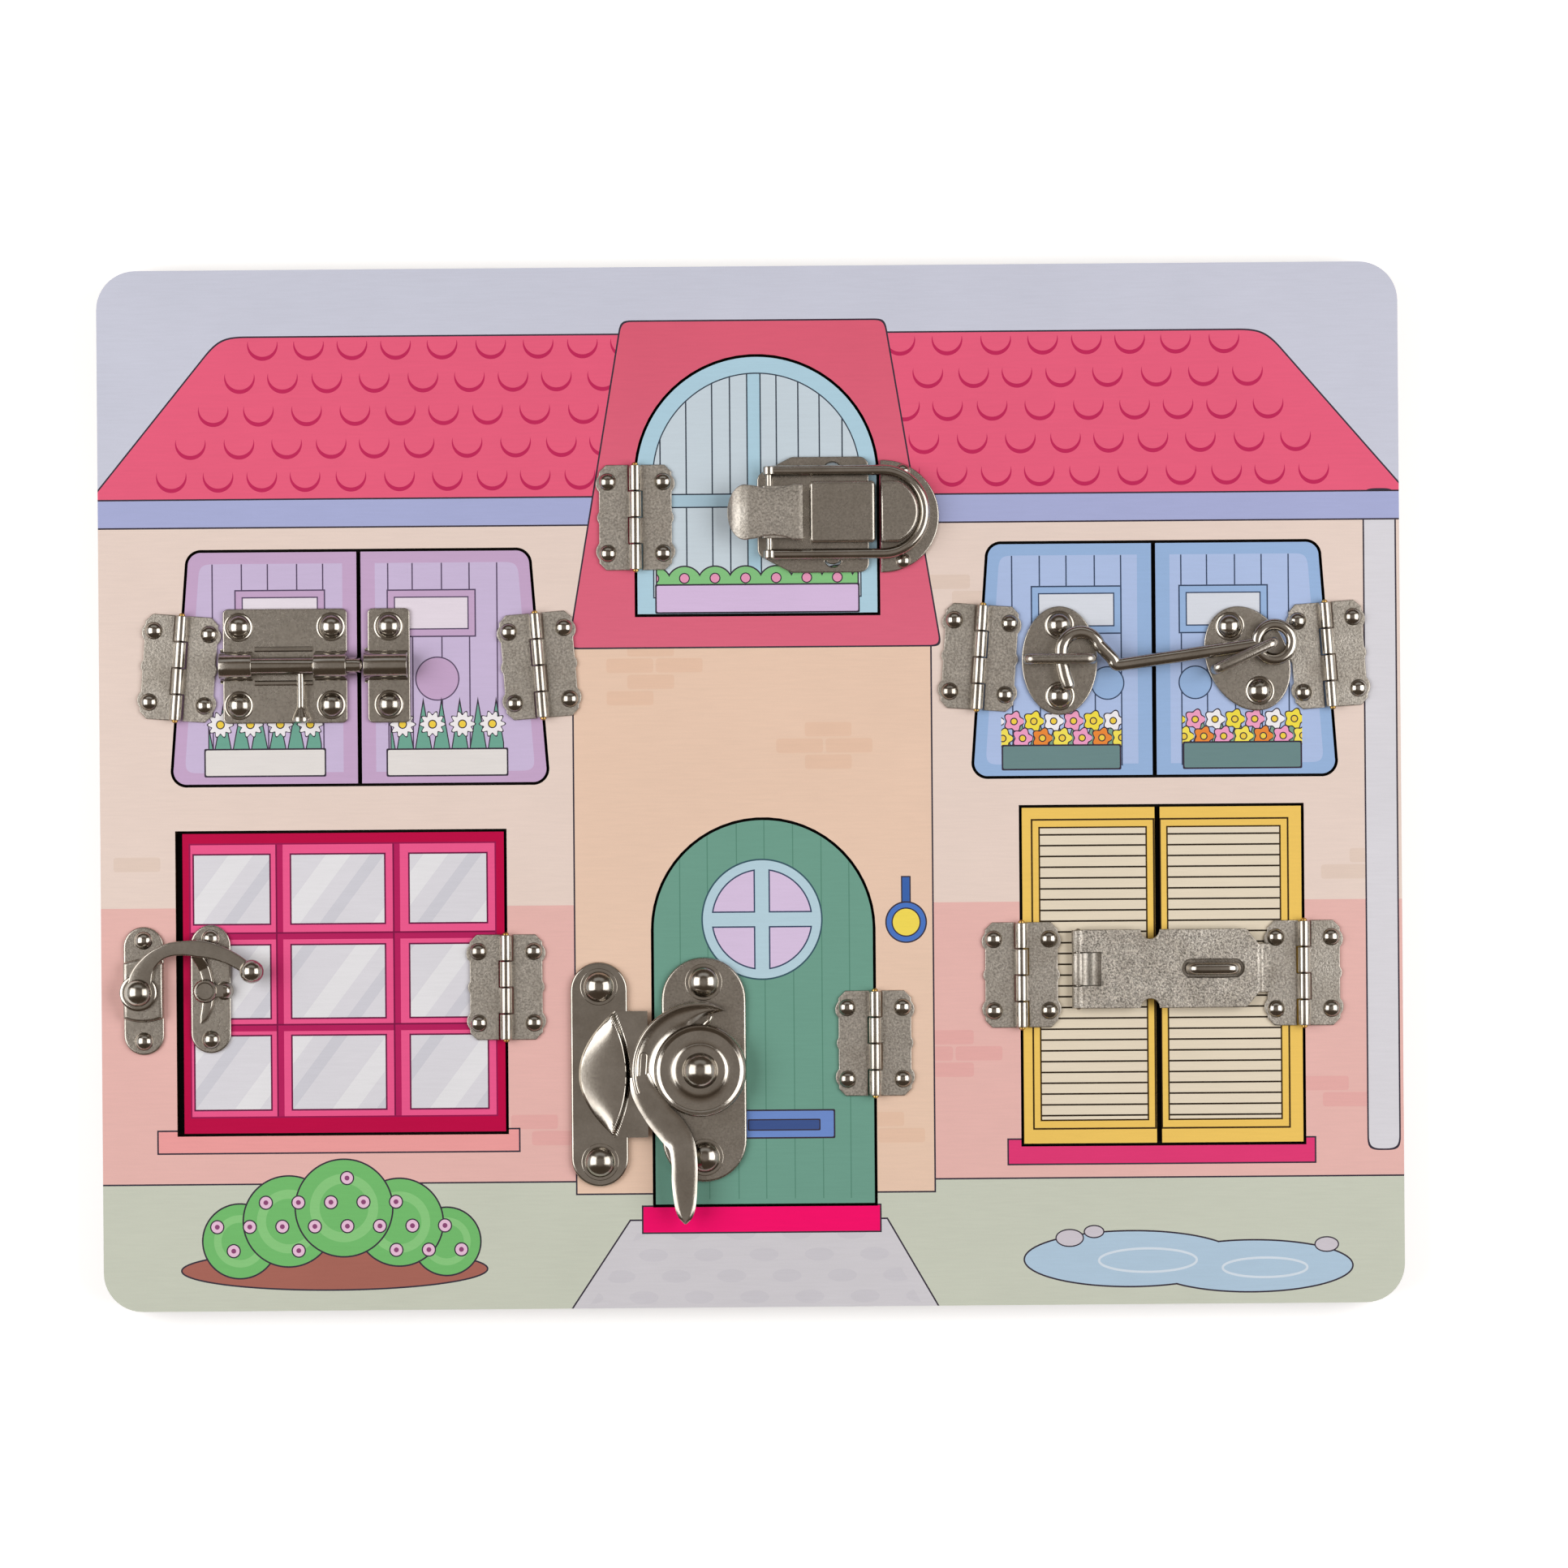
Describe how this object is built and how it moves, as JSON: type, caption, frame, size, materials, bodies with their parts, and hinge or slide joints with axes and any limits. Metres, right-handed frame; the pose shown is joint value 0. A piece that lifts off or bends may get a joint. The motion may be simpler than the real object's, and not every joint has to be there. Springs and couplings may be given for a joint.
{
  "type": "latches busy board",
  "caption": "Wooden play board shaped like a house front, with hinged doors and shutters cut from its face, each held by its own kind of metal latch.",
  "frame": {"origin": "middle of the board's back, which it lies on", "axes": "+X to the right across the house, +Y up the house, +Z out of its face"},
  "size_m": [0.4, 0.32, 0.0222],
  "materials": {
    "plain_wood": "bare plywood",
    "printed_wood": "matt colour print on plywood",
    "pale_blue": "matt colour print on plywood",
    "lilac": "matt colour print on plywood",
    "blue": "matt colour print on plywood",
    "magenta": "matt colour print on plywood",
    "teal": "matt colour print on plywood",
    "yellow": "matt colour print on plywood",
    "nickel": "nickel plated pressed steel",
    "brass": "dull brass"
  },
  "bodies": {
    "board": {"backing_panel": "plain_wood", "front_panel": "printed_wood", "hinge_leaves_frame": "nickel", "hinge_pins": "brass", "frame_rivets": "nickel", "toggle_strike": "nickel", "clasp_plate": "nickel", "clasp_pivot": "nickel", "sash_keeper": "nickel"},
    "attic": {"attic_door": "pale_blue", "leaf_attic_door": "nickel", "rivets_attic_door": "nickel", "toggle_base": "nickel", "toggle_cover": "nickel", "toggle_lever_pin": "nickel"},
    "lilac_left": {"lilac_shutter_left": "lilac", "leaf_lilac_left": "nickel", "rivets_lilac_left": "nickel", "bolt_plate": "nickel"},
    "lilac_right": {"lilac_shutter_right": "lilac", "leaf_lilac_right": "nickel", "rivets_lilac_right": "nickel", "bolt_keeper": "nickel"},
    "blue_left": {"blue_shutter_left": "blue", "leaf_blue_left": "nickel", "rivets_blue_left": "nickel", "hook_plate_left": "nickel"},
    "blue_right": {"blue_shutter_right": "blue", "leaf_blue_right": "nickel", "rivets_blue_right": "nickel", "hook_plate_right": "nickel"},
    "window": {"pink_window": "magenta", "leaf_pink_window": "nickel", "rivets_pink_window": "nickel", "clasp_catch": "nickel"},
    "door": {"front_door": "teal", "leaf_front_door": "nickel", "rivets_front_door": "nickel", "sash_base": "nickel", "sash_pivot": "nickel"},
    "yellow_left": {"yellow_shutter_left": "yellow", "leaf_yellow_left": "nickel", "rivets_yellow_left": "nickel", "hasp_leaf": "nickel", "hasp_pin": "nickel"},
    "yellow_right": {"yellow_shutter_right": "yellow", "leaf_yellow_right": "nickel", "rivets_yellow_right": "nickel", "staple_plate": "nickel", "staple_loop": "nickel"},
    "lilac_bolt": {"bolt_rod": "nickel"},
    "toggle_lever": {"toggle_lever": "nickel", "toggle_bail_pin": "nickel"},
    "toggle_bail": {"toggle_bail": "nickel"},
    "blue_hook": {"cabin_hook": "nickel"},
    "clasp_arm": {"clasp_arm": "nickel"},
    "sash_cam": {"sash_cam": "nickel"},
    "hasp_strap": {"hasp_strap": "nickel"}
  },
  "joints": [
    {"name": "attic_door_hinge", "type": "hinge", "parent": "board", "child": "attic", "pos_m": [-0.0347, 0.083, 0.01395], "axis": [0, -1, 0], "range_deg": [0, 95]},
    {"name": "lilac_left_hinge", "type": "hinge", "parent": "board", "child": "lilac_left", "pos_m": [-0.17533, 0.0378, 0.01395], "axis": [-0.0765, -0.9971, 0], "range_deg": [0, 110]},
    {"name": "lilac_right_hinge", "type": "hinge", "parent": "board", "child": "lilac_right", "pos_m": [-0.06467, 0.0378, 0.01395], "axis": [-0.0765, 0.9971, 0], "range_deg": [0, 95]},
    {"name": "blue_left_hinge", "type": "hinge", "parent": "board", "child": "blue_left", "pos_m": [0.07077, 0.0392, 0.01395], "axis": [-0.0724, -0.9974, 0], "range_deg": [0, 95]},
    {"name": "blue_right_hinge", "type": "hinge", "parent": "board", "child": "blue_right", "pos_m": [0.17783, 0.0392, 0.01395], "axis": [-0.0724, 0.9974, 0], "range_deg": [0, 95]},
    {"name": "window_hinge", "type": "hinge", "parent": "board", "child": "window", "pos_m": [-0.07555, -0.061, 0.01395], "axis": [0, 1, 0], "range_deg": [0, 110]},
    {"name": "front_door_hinge", "type": "hinge", "parent": "board", "child": "door", "pos_m": [0.03765, -0.0791, 0.01395], "axis": [0, 1, 0], "range_deg": [0, 95]},
    {"name": "yellow_left_hinge", "type": "hinge", "parent": "board", "child": "yellow_left", "pos_m": [0.08285, -0.0585, 0.01395], "axis": [0, -1, 0], "range_deg": [0, 95]},
    {"name": "yellow_right_hinge", "type": "hinge", "parent": "board", "child": "yellow_right", "pos_m": [0.16955, -0.0585, 0.01395], "axis": [0, 1, 0], "range_deg": [0, 95]},
    {"name": "bolt_slide", "type": "slide", "parent": "lilac_left", "child": "lilac_bolt", "axis": [-1, 0, 0], "range_m": [-0.0026, 0.012]},
    {"name": "toggle_lever_pivot", "type": "hinge", "parent": "attic", "child": "toggle_lever", "pos_m": [0.01425, 0.084, 0.0174], "axis": [0, -1, 0], "range_deg": [-110, 0]},
    {"name": "toggle_bail_pivot", "type": "hinge", "parent": "toggle_lever", "child": "toggle_bail", "pos_m": [0.00645, 0.084, 0.0166], "axis": [0, -1, 0], "range_deg": [0, 126.5]},
    {"name": "hook_pivot", "type": "hinge", "parent": "blue_right", "child": "blue_hook", "pos_m": [0.16099, 0.04312, 0.01714], "axis": [0, 0, 1], "range_deg": [-120, 0]},
    {"name": "clasp_pivot_joint", "type": "hinge", "parent": "board", "child": "clasp_arm", "pos_m": [-0.1882, -0.0617, 0.016], "axis": [0, 0, -1], "range_deg": [-100, 0]},
    {"name": "sash_cam_pivot", "type": "hinge", "parent": "door", "child": "sash_cam", "pos_m": [-0.0161, -0.0868, 0.017], "axis": [0, 0, -1], "range_deg": [-180, 0]},
    {"name": "hasp_hinge", "type": "hinge", "parent": "yellow_left", "child": "hasp_strap", "pos_m": [0.1002, -0.0568, 0.01405], "axis": [0, 1, 0], "range_deg": [-165, 0]}
  ],
  "couplings": [
    {"joint": "blue_left_hinge", "follows": "blue_right_hinge", "ratio": 1},
    {"joint": "yellow_right_hinge", "follows": "yellow_left_hinge", "ratio": 1},
    {"joint": "toggle_bail_pivot", "follows": "toggle_lever_pivot", "ratio": -1.15}
  ]
}
